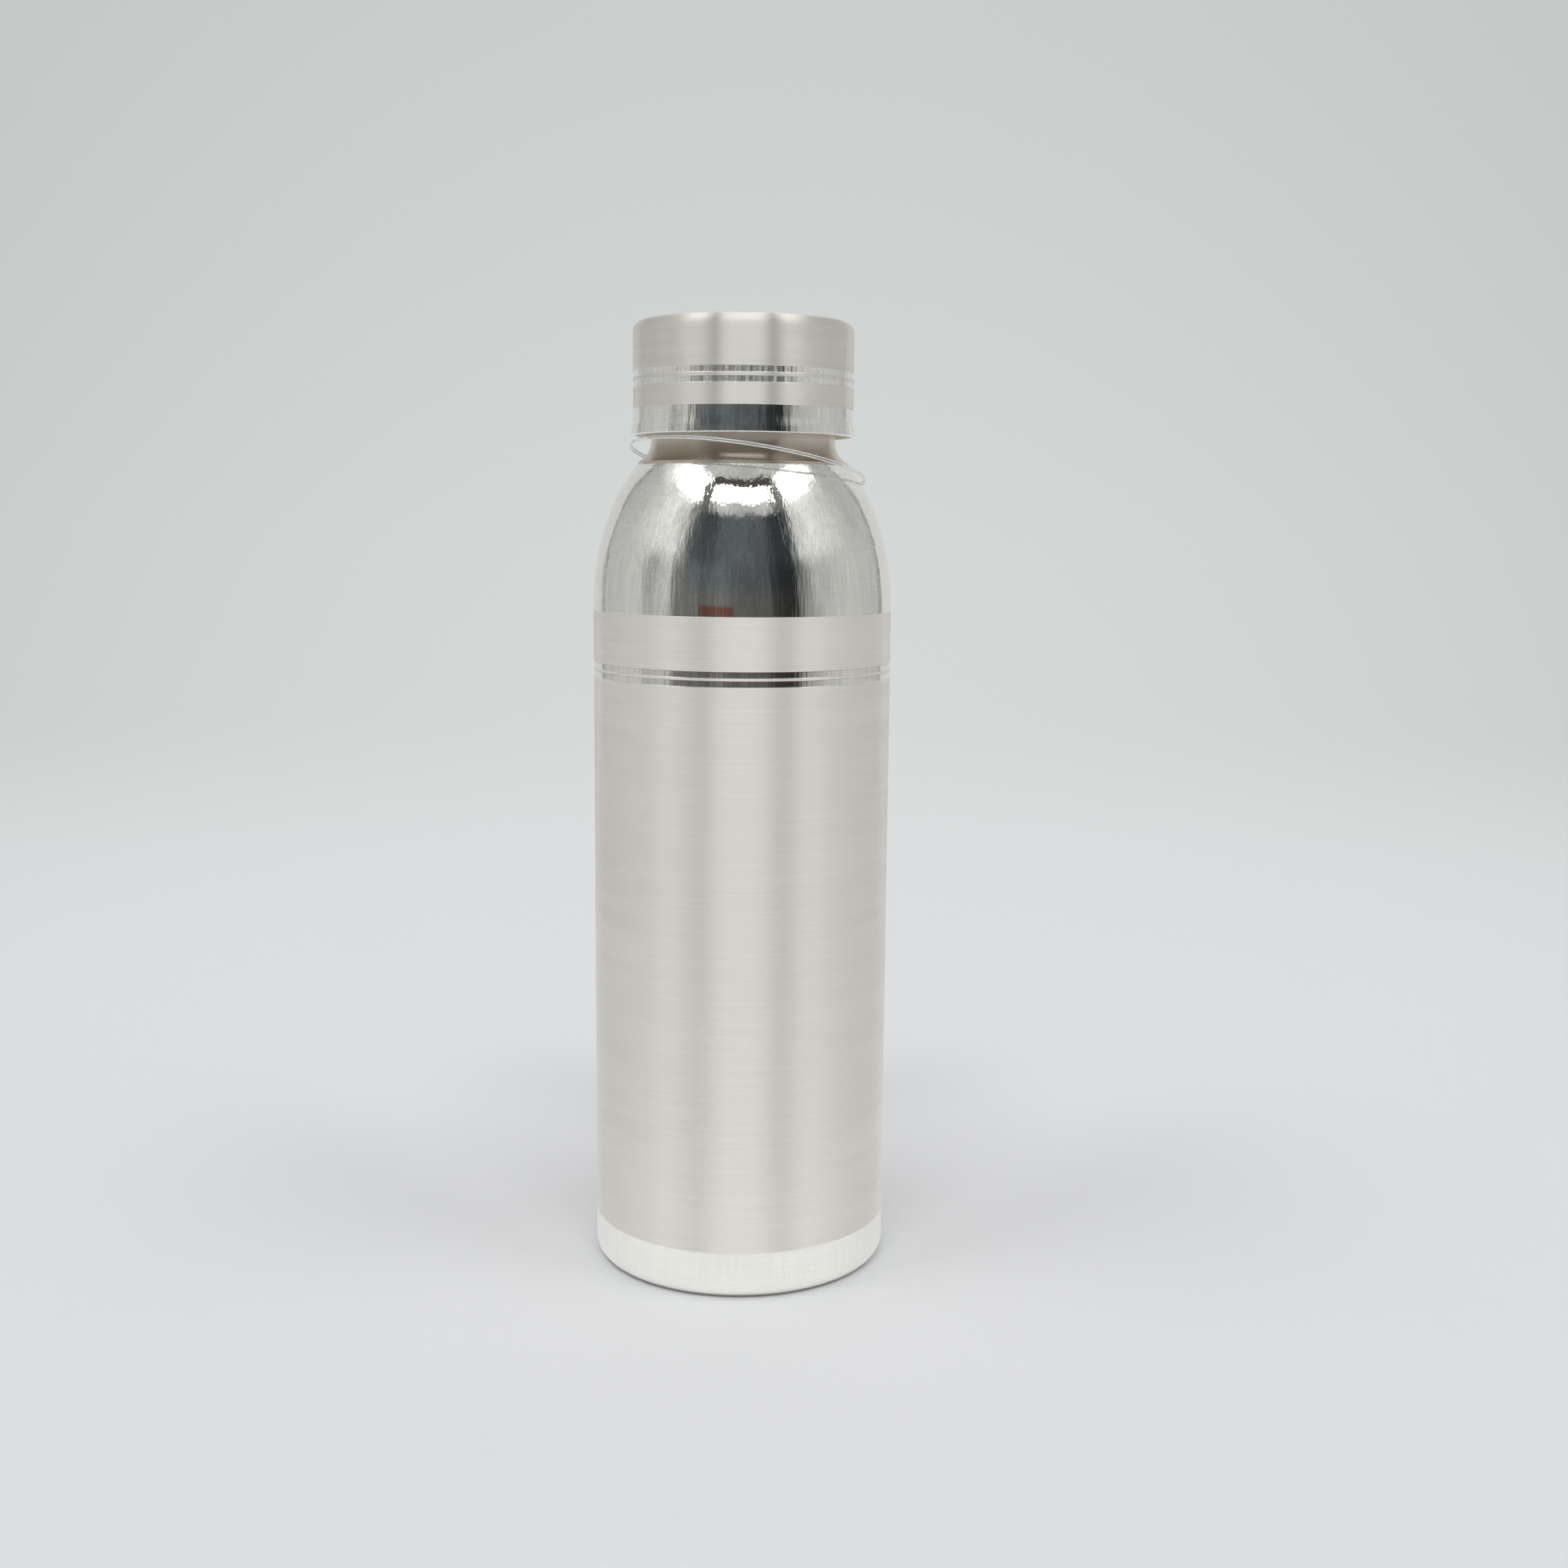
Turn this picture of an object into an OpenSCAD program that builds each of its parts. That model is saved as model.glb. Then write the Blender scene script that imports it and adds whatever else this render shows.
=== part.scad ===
// Round metal water bottle: a drawn body with a spun shoulder, a soldered base,
// a threaded neck ring and a lift-clear screw cap. Millimetres, +Z up.
// The origin is the middle of the ring that the bottle stands on.

/* [Body] */
// Outside radius of the body
body_r = 36.5; // [34:0.5:39]
// Thickness of the body's sheet metal
body_wall = 0.8; // [0.6:0.1:1.2]
// Radius of the rolled edge at the foot
foot_edge_r = 3.5; // [2.5:0.5:5]
// Width of the flat ring that the bottle stands on
foot_ring_w = 1.6; // [1:0.1:3]

/* [Shoulder] */
// Height at which the straight wall turns into the shoulder
shoulder_z = 164.2; // [150:0.1:170]
// Height of the flat land that the neck ring sits on
land_z = 198; // [196:0.1:200]
// Outside radius of that land
land_r = 25.7; // [25:0.1:26.5]
// Height of the full quarter ellipse that the shoulder is part of
ellipse_h = 42; // [40:0.5:48]

/* [Base disc] */
// Height of the disc's underside above the table
base_z = 4.6; // [4.5:0.1:8]
// Height of the disc's skirt, which is soldered to the body
base_skirt_h = 5; // [4:0.5:8]
// Rise of the pressed-up middle of the disc
base_rise = 2.2; // [1:0.1:3]

/* [Neck ring] */
// Outside radius of the plain neck
neck_r = 22.4; // [22:0.1:22.6]
// Radius of the mouth
mouth_r = 20.5; // [18:0.5:20.5]
// Height of the neck's lip
lip_z = 226; // [225:0.1:226.5]
// Radius of the hollow curve between the neck and its foot
neck_fillet_r = 5.5; // [5:0.1:5.6]

/* [Screw thread] */
// Rise of the thread for each turn
pitch = 5; // [4.5:0.1:5.5]
// How far the ridges stand out from the walls
ridge_h = 1.3; // [1:0.05:1.3]
// Turns of thread on the neck
neck_turns = 2; // [1.5:0.25:2.25]
// Turns of thread in the cap
cap_turns = 1.5; // [1:0.25:2]

/* [Cap] */
// Outside radius of the cap
cap_r = 26.7; // [26.6:0.1:27.5]
// Outside radius at the cap's flared rim
cap_rim_r = 27.25; // [27:0.05:28]
// Height of the cap's rim above the table
cap_rim_z = 205; // [204.6:0.1:205.5]
// Height of the cap's top above the table
cap_top_z = 232; // [231:0.1:235]
// Radius of the cap's top edge
cap_edge_r = 2.5; // [1.5:0.1:3.5]
// Thickness of the cap's sheet metal
cap_wall = 0.6; // [0.6:0.1:1]

/* [Cut lines] */
// Lower edges of the two bright lines on the body
body_lines = [147.1, 149.2];
// Lower edges of the two bright lines on the cap
cap_lines = [216.3, 218.6];
// Width of each bright line
line_w = 1.5; // [1:0.1:2]
// Depth of each bright line
line_depth = 0.08; // [0.05:0.01:0.2]

/* [Tag loop] */
// Thickness of the clear filament
filament_d = 0.45; // [0.3:0.05:0.6]
// Radius of the loop
loop_r = 28.8; // [28.7:0.05:28.9]
// Slope of the loop, which is lowest at the back right
loop_tilt = 11.1; // [10.5:0.1:11.3]

/* [Hidden] */
$fn = 96;

silver_satin = [0.80, 0.79, 0.76];
silver_bright = [0.88, 0.88, 0.87];
raw_brass = [0.78, 0.66, 0.38];
silicone_white = [0.93, 0.93, 0.90];
clear_nylon = [0.85, 0.90, 0.92];

arc_steps = 12;
shoulder_steps = 30;

// Where the shoulder's ellipse crosses the land gives its half width
land_cos = sqrt(1 - pow((land_z - shoulder_z) / ellipse_h, 2));
ellipse_w = (body_r - land_r) / (1 - land_cos);
shoulder_end = asin((land_z - shoulder_z) / ellipse_h);

// The neck ring's spigot drops through the opening in the land
spigot_wall = 1.2;
spigot_h = 2.4;
opening_r = mouth_r + spigot_wall;
neck_foot_r = land_r - 0.1;
fillet_z = land_z + 0.7 + sqrt(pow(neck_fillet_r, 2) - pow(neck_r + neck_fillet_r - neck_foot_r, 2));
lip_edge_r = 0.8;

// The cap's thread ring sits inside the cap's shell
cap_in_r = cap_r - cap_wall;
screw_gap = 0.3;
ring_in_r = neck_r + ridge_h + screw_gap;
ring_low_z = cap_rim_z + 2;
gasket_t = 1.6;
liner_z = lip_z + gasket_t;
liner_t = 0.8;

// Ridge: half its height along the axis, at the wall and at the crest
ridge_root = 1.4;
ridge_crest = 0.8;
ridge_sink = 0.5;
steps_per_turn = 36;
neck_thread_z = 209;
// The cap's ridge runs midway between two turns of the neck's ridge
cap_thread_z = neck_thread_z + pitch / 2;

// Distance between the two strands of the loop, and its centre's place
strand_gap = 0.3;
loop_shift = 1.65;
loop_facing = -135;
loop_z = 198.55;

// Points on an arc about a centre, from one angle to another
function arc(centre, r, from, to) =
    [for (i = [0:arc_steps])
        let (a = from + (to - from) * i / arc_steps)
        centre + r * [cos(a), sin(a)]];

// The shoulder's curve at a distance inside its outer face
function shoulder(inset) =
    [for (i = [0:shoulder_steps])
        let (a = shoulder_end * i / shoulder_steps)
        [
            body_r - ellipse_w + (ellipse_w - inset) * cos(a),
            shoulder_z + (ellipse_h - inset) * sin(a)
        ]];

function reversed(points) = [for (i = [len(points) - 1:-1:0]) points[i]];

// A ridge that climbs as a helix. Its crest points outwards for a positive
// height and inwards for a negative one, and it fades out at both ends.
module helix_ridge(wall_r, height, turns) {
    count = round(turns * steps_per_turn);
    side = sign(height);
    // Share of the full ridge at step i, which rises over an eighth of a turn
    fade = steps_per_turn / 8;
    function share(i) = max(0.08, min(1, i / fade, (count - i) / fade));
    function ring(i) =
        let (
            a = 360 * i / steps_per_turn,
            z = pitch * i / steps_per_turn,
            root = wall_r - side * ridge_sink,
            crest = wall_r + height * share(i),
            half_root = ridge_root * share(i),
            half_crest = ridge_crest * share(i)
        )
        [for (p = [[root, -half_root], [crest, -half_crest], [crest, half_crest], [root, half_root]])
            [p[0] * cos(a), p[0] * sin(a), z + p[1]]];
    points = [for (i = [0:count]) each ring(i)];
    function at(i, j) = 4 * i + j % 4;
    // Faces for an inward crest, in the order that faces them outwards
    faces = [
        [0, 1, 2, 3],
        for (i = [0:count - 1], j = [0:3])
            each [[at(i, j), at(i + 1, j), at(i, j + 1)], [at(i, j + 1), at(i + 1, j), at(i + 1, j + 1)]],
        [at(count, 3), at(count, 2), at(count, 1), at(count, 0)]
    ];
    polyhedron(points, side < 0 ? faces : [for (f = faces) reversed(f)], convexity = 10);
}

// A shallow bright-cut line round an outside wall
module cut_line(wall_r, z) {
    translate([0, 0, z])
        difference() {
            cylinder(r = wall_r + 1, h = line_w);
            translate([0, 0, -1]) cylinder(r = wall_r - line_depth, h = line_w + 2);
        }
}

// Drawn tube with its spun shoulder, its rolled foot and the land for the neck
module body_shell() {
    foot_centre = [body_r - foot_edge_r, foot_edge_r];
    outer = concat(
        [[foot_centre[0] - foot_ring_w, 0]],
        arc(foot_centre, foot_edge_r, -90, 0),
        shoulder(0),
        [[opening_r, land_z]]
    );
    inner = concat(
        [[foot_centre[0] - foot_ring_w, body_wall]],
        arc(foot_centre, foot_edge_r - body_wall, -90, 0),
        shoulder(body_wall),
        [[opening_r, land_z - body_wall]]
    );
    color(silver_satin)
        difference() {
            rotate_extrude() polygon(concat(outer, reversed(inner)));
            for (z = body_lines) cut_line(body_r, z);
        }
}

// Dished disc with an upturned skirt, closed over by the body's rolled foot
module base_disc() {
    disc_r = body_r - body_wall;
    t = body_wall;
    bend = 1.6;
    rise_r = 26;
    low = [
        [0, base_z + base_rise],
        [rise_r - 4, base_z + base_rise],
        [rise_r, base_z]
    ];
    outer = concat(low, arc([disc_r - bend, base_z + bend], bend, -90, 0), [[disc_r, base_z + base_skirt_h]]);
    inner = concat(
        [for (p = low) p + [0, t]],
        arc([disc_r - bend, base_z + bend], bend - t, -90, 0),
        [[disc_r - t, base_z + base_skirt_h]]
    );
    color(silver_satin) rotate_extrude() polygon(concat(outer, reversed(inner)));
}

// Turned ring with a hollow-curved foot, a plain neck, a rounded lip and a thread
module neck_ring() {
    centre = [neck_r + neck_fillet_r, fillet_z];
    foot_angle = 180 + asin((fillet_z - land_z - 0.7) / neck_fillet_r);
    profile = concat(
        [
            [mouth_r, land_z - spigot_h],
            [opening_r, land_z - spigot_h],
            [opening_r, land_z],
            [neck_foot_r, land_z]
        ],
        arc(centre, neck_fillet_r, foot_angle, 180),
        arc([neck_r - lip_edge_r, lip_z - lip_edge_r], lip_edge_r, 0, 90),
        arc([mouth_r + lip_edge_r, lip_z - lip_edge_r], lip_edge_r, 90, 180)
    );
    color(silver_satin) {
        rotate_extrude() polygon(profile);
        translate([0, 0, neck_thread_z]) helix_ridge(neck_r, ridge_h, neck_turns);
    }
}

// Drawn cup with a rounded top edge and a rim that flares a little
module cap_shell() {
    flare_top_z = cap_rim_z + 6.3;
    flare_mid_z = cap_rim_z + 3.4;
    flare_mid_r = cap_rim_r - 0.15;
    edge_centre = [cap_r - cap_edge_r, cap_top_z - cap_edge_r];
    outer = concat(
        [[cap_rim_r, cap_rim_z], [flare_mid_r, flare_mid_z], [cap_r, flare_top_z]],
        arc(edge_centre, cap_edge_r, 0, 90),
        [[0, cap_top_z]]
    );
    inner = concat(
        [[cap_in_r, cap_rim_z]],
        arc(edge_centre, cap_edge_r - cap_wall, 0, 90),
        [[0, cap_top_z - cap_wall]]
    );
    color(silver_bright)
        difference() {
            rotate_extrude() polygon(concat(outer, reversed(inner)));
            for (z = cap_lines) cut_line(cap_r, z);
        }
}

// Ring with the inside thread, pressed and soldered into the cap's shell
module cap_thread_ring() {
    color(raw_brass) {
        translate([0, 0, ring_low_z])
            difference() {
                cylinder(r = cap_in_r, h = liner_z - ring_low_z);
                translate([0, 0, -1]) cylinder(r = ring_in_r, h = liner_z - ring_low_z + 2);
            }
        translate([0, 0, cap_thread_z]) helix_ridge(ring_in_r, -ridge_h + 0.1, cap_turns);
    }
}

// Disc above the thread ring that backs the seal and keeps water off the shell
module cap_liner() {
    color(silver_satin)
        translate([0, 0, liner_z])
            cylinder(r = cap_in_r, h = liner_t);
}

// Flat seal that the neck's lip presses against the liner
module cap_gasket() {
    color(silicone_white)
        translate([0, 0, lip_z])
            difference() {
                cylinder(r = ring_in_r - 0.3, h = gasket_t);
                translate([0, 0, -1]) cylinder(r = mouth_r + 0.4, h = gasket_t + 2);
            }
}

// Two strands of clear filament, looped round the neck to hold a swing tag
module tag_loop() {
    strand = filament_d / 2;
    color(clear_nylon)
        rotate([0, 0, loop_facing])
            for (side = [-1, 1])
                translate([-loop_shift, 0, loop_z])
                    rotate([0, -loop_tilt, 0])
                        translate([0, 0, side * strand_gap])
                            rotate_extrude()
                                translate([loop_r - side * strand_gap / 4, 0])
                                    circle(r = strand, $fn = 16);
}

body_shell();
base_disc();
neck_ring();
cap_shell();
cap_thread_ring();
cap_liner();
cap_gasket();
tag_loop();
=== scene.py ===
"""Looks of a silver-plated metal water bottle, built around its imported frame.

Laid out as a Blender add-on and run as a script: each group of pieces has an operator, the sizes and
colours that a user would change are properties of the scene, and main() calls the operators in order.
"""

import math

import bmesh
import bpy
from bpy.props import FloatProperty, FloatVectorProperty, IntProperty, PointerProperty
from mathutils import Matrix, Vector


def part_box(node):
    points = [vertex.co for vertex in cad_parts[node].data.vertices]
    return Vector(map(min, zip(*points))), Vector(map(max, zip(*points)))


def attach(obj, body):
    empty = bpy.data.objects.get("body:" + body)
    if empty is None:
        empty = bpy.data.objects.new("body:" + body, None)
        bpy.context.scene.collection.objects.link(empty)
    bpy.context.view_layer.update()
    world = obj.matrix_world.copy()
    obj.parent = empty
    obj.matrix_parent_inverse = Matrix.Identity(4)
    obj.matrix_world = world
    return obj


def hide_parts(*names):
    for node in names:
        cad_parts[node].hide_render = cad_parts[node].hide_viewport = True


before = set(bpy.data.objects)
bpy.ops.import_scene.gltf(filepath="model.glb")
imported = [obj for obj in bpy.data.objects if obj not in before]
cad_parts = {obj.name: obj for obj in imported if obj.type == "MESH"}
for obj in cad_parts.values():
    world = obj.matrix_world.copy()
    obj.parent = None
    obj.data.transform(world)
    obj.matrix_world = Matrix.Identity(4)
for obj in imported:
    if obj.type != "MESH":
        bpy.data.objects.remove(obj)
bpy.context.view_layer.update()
MM = 0.001

bl_info = {
    "name": "Silvered water bottle",
    "version": (1, 0, 0),
    "blender": (4, 5, 0),
    "location": "3D View > Sidebar > Bottle",
    "description": "Builds the body, neck, cap, seal and tag loop of a satin and mirror-polished bottle",
    "category": "Add Mesh",
}


# ---------------------------------------------------------------- sizes from the frame, in millimetres

def box_mm(node):
    """Lowest and highest corner of a node, in millimetres."""
    low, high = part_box(node)
    return low / MM, high / MM


BODY_R = box_mm("body_shell")[1].x
LAND_Z = box_mm("body_shell")[1].z
BASE_Z = box_mm("base_disc")[0].z
BASE_SKIRT_Z = box_mm("base_disc")[1].z
SKIRT_R = box_mm("base_disc")[1].x
WALL = BODY_R - SKIRT_R
SPIGOT_Z = box_mm("neck_ring")[0].z
LIP_Z = box_mm("neck_ring")[1].z
FOOT_R = box_mm("neck_ring")[1].x
CAP_RIM_R = box_mm("cap_shell")[1].x
CAP_RIM_Z = box_mm("cap_shell")[0].z
CAP_TOP_Z = box_mm("cap_shell")[1].z
CAP_IN_R = box_mm("cap_thread_ring")[1].x
THREAD_RING_Z = box_mm("cap_thread_ring")[0].z
SEAL_R = box_mm("cap_gasket")[1].x
LINER_LOW_Z = box_mm("cap_liner")[0].z
LINER_TOP_Z = box_mm("cap_liner")[1].z

# Sizes that are not read from a node's box
SPIGOT_WALL = 1.2
BASE_RISE = 2.2
BASE_BEND_R = 1.6
CAP_BAND_H = 6.3
# The plain wall before and after a bright line, which keeps its shading local
BEFORE_LINE = 0.3
AFTER_LINE = 0.2

# The screw: where the neck's thread starts, its play, and half the ridge's width at its foot and its top
THREAD_Z = LAND_Z + 11
THREAD_PLAY = 0.3
NECK_TURNS = 2.0
CAP_TURNS = 1.5
RIDGE_FOOT = 1.4
RIDGE_TOP = 0.8
RIDGE_SINK = 0.5
RIDGE_STEPS = 96

# An outline turns round the axis on a circle of this radius, and is drawn from that circle
HUB_MM = 1.0

# The tag loop's lean and the way it leans, in degrees, and half the distance between its strands
LOOP_TILT = 11.1
LOOP_FACING = -135
STRAND_GAP = 0.28

# Parts of a normal: a face below the first looks inwards, and a face below the second looks down
INWARD = -0.05
DOWNWARD = -0.5


def linear(hex_colour):
    """Linear RGBA of an sRGB hex colour."""
    parts = [int(hex_colour[i:i + 2], 16) / 255 for i in (1, 3, 5)]
    return tuple(c / 12.92 if c <= 0.04045 else ((c + 0.055) / 1.055) ** 2.4 for c in parts) + (1.0,)


def colour_property(name, description, hex_colour):
    """A colour that a user can change, with its default given as sRGB hex."""
    return FloatVectorProperty(
        name=name, description=description, subtype="COLOR", size=4, min=0, max=1,
        default=linear(hex_colour))


def length_property(name, description, default):
    """A length in millimetres that a user can change."""
    return FloatProperty(name=name, description=description + ", in mm", default=default, min=0)


class BottleSizes(bpy.types.PropertyGroup):
    """Sizes of the bottle's details, in millimetres."""

    foot_edge_r: length_property("Foot edge", "Radius of the body's rolled foot", 3.5)
    foot_ring_w: length_property("Foot ring", "Width of the flat ring it stands on", 1.6)
    foot_band_z: length_property("Foot band", "Height of the polished band's top edge", 11.6)
    line_low_z: length_property("Lower line", "Height of the body's lower bright line", 147.1)
    line_high_z: length_property("Upper line", "Height of the body's upper bright line", 149.2)
    line_w: length_property("Line width", "Width of each bright line", 1.5)
    line_depth: length_property("Line depth", "Depth of each bright line", 0.08)
    polish_z: length_property("Polished from", "Height at which the polished shoulder starts", 163.2)
    shoulder_z: length_property("Shoulder", "Height at which the wall turns inwards", 164.2)
    ellipse_h: length_property("Shoulder height", "Height of the shoulder's full quarter ellipse", 42)
    land_r: length_property("Land", "Radius of the flat land under the neck", 25.7)
    neck_r: length_property("Neck", "Radius of the plain neck", 22.4)
    mouth_r: length_property("Mouth", "Radius of the mouth", 20.5)
    neck_fillet_r: length_property("Neck foot curve", "Radius of the neck's hollow foot", 5.5)
    pitch: length_property("Pitch", "Rise of the screw thread for each turn", 5)
    ridge_h: length_property("Thread height", "How far the thread stands out", 1.3)
    cap_r: length_property("Cap", "Radius of the cap's wall", 26.7)
    cap_edge_r: length_property("Cap edge", "Radius of the cap's top edge", 2.5)
    cap_wall: length_property("Cap wall", "Thickness of the cap's sheet", 0.6)
    cap_line_low_z: length_property("Cap's lower line", "Height of the cap's lower bright line", 216.3)
    cap_line_high_z: length_property("Cap's upper line", "Height of the cap's upper bright line", 218.6)
    filament_d: length_property("Filament", "Thickness of the tag loop's filament", 0.32)
    loop_r: length_property("Tag loop", "Radius of the tag loop", 28.8)
    segments: IntProperty(name="Segments", description="Steps round each turned piece", default=288, min=48)


class BottleColours(bpy.types.PropertyGroup):
    """Colours of the bottle's finishes."""

    satin: colour_property("Satin silver", "Silver plate left lathe-brushed", "#fdf9f2")
    mirror: colour_property("Bright silver", "Silver plate buffed to a mirror", "#fbfaf4")
    copper: colour_property("Copper", "Bare copper inside the bottle", "#c98560")
    brass: colour_property("Brass", "Turned brass inside the cap", "#c9a765")
    silicone: colour_property("Seal", "Translucent white silicone", "#e9e9e2")
    nylon: colour_property("Tag loop", "Clear nylon filament", "#f2f4f4")
    floor: colour_property("Floor", "Matte white table", "#dcdddf")


def sizes():
    """The bottle's size properties."""
    return bpy.context.scene.bottle_sizes


def colours():
    """The bottle's colour properties."""
    return bpy.context.scene.bottle_colours


# ---------------------------------------------------------------- nodes

def add_node(tree, kind, settings=None, inputs=None):
    """Adds a node, sets its properties, and sets or links its inputs."""
    node = tree.nodes.new(kind)
    for name, value in (settings or {}).items():
        setattr(node, name, value)
    for socket, value in (inputs or {}).items():
        if isinstance(value, bpy.types.NodeSocket):
            tree.links.new(value, node.inputs[socket])
        else:
            node.inputs[socket].default_value = value
    return node


def math_node(tree, operation, *values):
    """The output of a Math node."""
    return add_node(tree, "ShaderNodeMath", {"operation": operation}, dict(enumerate(values))).outputs[0]


def smooth_range(tree, value, start, end):
    """0 where a value is at its start and 1 where it is at its end, with a smooth change between."""
    return add_node(
        tree, "ShaderNodeMapRange", {"interpolation_type": "SMOOTHSTEP"},
        {"Value": value, "From Min": start, "From Max": end}).outputs[0]


def blend_colours(tree, factor, first, second, mode="MIX"):
    """The output of a colour Mix node, whose colours are its inputs 6 and 7."""
    node = add_node(
        tree, "ShaderNodeMix", {"data_type": "RGBA", "blend_type": mode},
        {"Factor": factor, 6: first, 7: second})
    return node.outputs[2]


# ---------------------------------------------------------------- materials

def new_material(name):
    """An empty node material, and its tree, with a Principled shader joined to its output."""
    material = bpy.data.materials.new(name)
    material.use_nodes = True
    tree = material.node_tree
    tree.nodes.clear()
    output = add_node(tree, "ShaderNodeOutputMaterial")
    shader = add_node(tree, "ShaderNodeBsdfPrincipled")
    tree.links.new(shader.outputs[0], output.inputs[0])
    return material, tree, shader


def shader_of(material):
    """The Principled shader of a material."""
    return next(n for n in material.node_tree.nodes if n.bl_idname == "ShaderNodeBsdfPrincipled")


def grain(tree, round_mm, along_mm, detail=2.0, roughness=0.5):
    """Noise whose marks are round_mm long round the axis and along_mm long along it."""
    place = add_node(tree, "ShaderNodeTexCoord").outputs["Object"]
    scale = (1 / (round_mm * MM), 1 / (round_mm * MM), 1 / (along_mm * MM))
    mapped = add_node(tree, "ShaderNodeMapping", None, {"Vector": place, "Scale": scale}).outputs[0]
    return add_node(
        tree, "ShaderNodeTexNoise", None,
        {"Vector": mapped, "Scale": 1.0, "Detail": detail, "Roughness": roughness}).outputs["Fac"]


def spread(tree, value, low, high):
    """Stretches a noise's middle range over low to high."""
    return add_node(
        tree, "ShaderNodeMapRange", None,
        {"Value": value, "From Min": 0.3, "From Max": 0.7, "To Min": low, "To Max": high}).outputs[0]


def bump(tree, height, depth_mm, strength=1.0, under=None):
    """A bump of a real depth, over another one if it is given."""
    inputs = {"Height": height, "Distance": depth_mm * MM, "Strength": strength}
    if under is not None:
        inputs["Normal"] = under
    return add_node(tree, "ShaderNodeBump", None, inputs).outputs[0]


def darker(colour, share):
    """A colour at a share of its brightness."""
    return tuple(c * share for c in colour[:3]) + (1.0,)


def coat(tree, shader, tone, roughness, normal, metallic=1.0):
    """Joins a colour, a roughness and a bump to a shader, which is a metal unless metallic says not."""
    tree.links.new(tone, shader.inputs["Base Color"])
    tree.links.new(roughness, shader.inputs["Roughness"])
    tree.links.new(normal, shader.inputs["Normal"])
    shader.inputs["Metallic"].default_value = metallic


def turn_tangent(tree, shader, anisotropy):
    """Lays a metal's brushing round the axis, so its highlights stretch along the axis."""
    tangent = add_node(tree, "ShaderNodeTangent", {"direction_type": "RADIAL", "axis": "Z"}).outputs[0]
    tree.links.new(tangent, shader.inputs["Tangent"])
    shader.inputs["Anisotropic"].default_value = anisotropy
    shader.inputs["Anisotropic Rotation"].default_value = 0.25


def satin_silver(name="silver_plate_lathe_brushed", tint="#ffffff", rough=0.48, anisotropy=0.92):
    """Silver plate over copper, brushed on a lathe with fine paper: soft, with hair lines round it."""
    material, tree, shader = new_material(name)
    base = tuple(a * b for a, b in zip(colours().satin, linear(tint)))
    # Grit about 0.15 mm apart, drawn 0.35 mm apart so that it shows
    hair = grain(tree, 28, 0.35, 3.0, 0.6)
    band = grain(tree, 60, 2.5, 2.0)
    tone = blend_colours(tree, spread(tree, hair, 0.0, 1.0), base, darker(base, 0.95))
    coat(tree, shader, tone, spread(tree, band, rough - 0.02, rough + 0.03), bump(tree, hair, 0.008, 0.5))
    turn_tangent(tree, shader, anisotropy)
    return material


def cap_silver():
    """The cap's plate, brushed with a finer paper than the body's: a little darker and sharper."""
    return satin_silver("silver_plate_fine_brushed", "#f7f7f7", 0.44, 1.0)


def neck_silver():
    """The same plate, thinner over the brass neck ring: darker and warmer, with painted shade in the hollow
    foot.
    """
    material = satin_silver("silver_plate_over_brass_brushed", "#f1eeea", 0.28, 1.0)
    tree = material.node_tree
    shader = shader_of(material)
    tone = shader.inputs["Base Color"].links[0].from_socket
    place = add_node(tree, "ShaderNodeTexCoord").outputs["Object"]
    height = add_node(tree, "ShaderNodeSeparateXYZ", None, {0: place}).outputs["Z"]
    # Painted shade: the colour darkens low on the neck, in the hollow foot, where the cap's rim shades it
    hollow = smooth_range(tree, height, (LAND_Z + 8) * MM, (LAND_Z + 3) * MM)
    cap_shade_tone = blend_colours(tree, hollow, tone, linear("#dad6d2"), "MULTIPLY")
    tree.links.new(cap_shade_tone, shader.inputs["Base Color"])
    return material


def mirror_silver(
        name="silver_plate_mirror_buffed", wave=3.0, broad_depth=0.08, fine_depth=0.03, streak=1.0):
    """Silver plate buffed on a wheel: a mirror, with upright waves and fine hair lines round it.

    wave is the width of its waves, and the depths are those of its waves and its strokes, all in
    millimetres. streak is how dark the painted reflection in its strokes is, from 0 to 1.
    """
    material, tree, shader = new_material(name)
    base = colours().mirror
    hair = grain(tree, 14, 0.25, 3.0)
    tone = blend_colours(tree, spread(tree, hair, 0.0, 1.0), base, darker(base, 0.93))
    # Upright waves from the buffing wheel, 22 mm tall, and strokes 0.6 mm wide over them
    stroke = grain(tree, 0.6, 18, 2.0)
    # Painted reflection: the strokes darken the colour as the room they mirror would; their bump is real
    stroke_reflection_shade = spread(tree, stroke, 0.0, streak)
    tone = blend_colours(tree, stroke_reflection_shade, tone, linear("#edeeee"), "MULTIPLY")
    broad = bump(tree, grain(tree, wave, 22, 1.0), broad_depth)
    fine = bump(tree, stroke, fine_depth, 1.0, broad)
    smear = spread(tree, grain(tree, 6, 3, 4.0), 0.01, 0.035)
    coat(tree, shader, tone, smear, bump(tree, hair, 0.0004, 0.5, fine))
    return material


def rim_silver():
    """The cap's rim, buffed against its flare: a mirror with stronger upright waves than the body's."""
    return mirror_silver("silver_plate_rim_buffed", 1.4, 0.09, 0.04)


def foot_silver():
    """The foot's band, buffed round the body: a calmer mirror than the shoulder's."""
    return mirror_silver("silver_plate_foot_buffed", 4.0, 0.03, 0.006, 0.3)


def line_silver():
    """The body's bright lines, cut with a keen tool: a mirror with fine upright chatter."""
    return mirror_silver("silver_plate_keen_cut", 1.2, 0.03, 0.03)


def cut_silver():
    """The cap's bright lines, cut with a blunter tool: brushed round, with upright chatter."""
    material = mirror_silver("silver_plate_bright_cut", 1.5, 0.08, 0.09)
    tree = material.node_tree
    shader = shader_of(material)
    tree.links.new(spread(tree, grain(tree, 0.7, 20, 2.0), 0.1, 0.3), shader.inputs["Roughness"])
    turn_tangent(tree, shader, 1.0)
    return material


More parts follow.
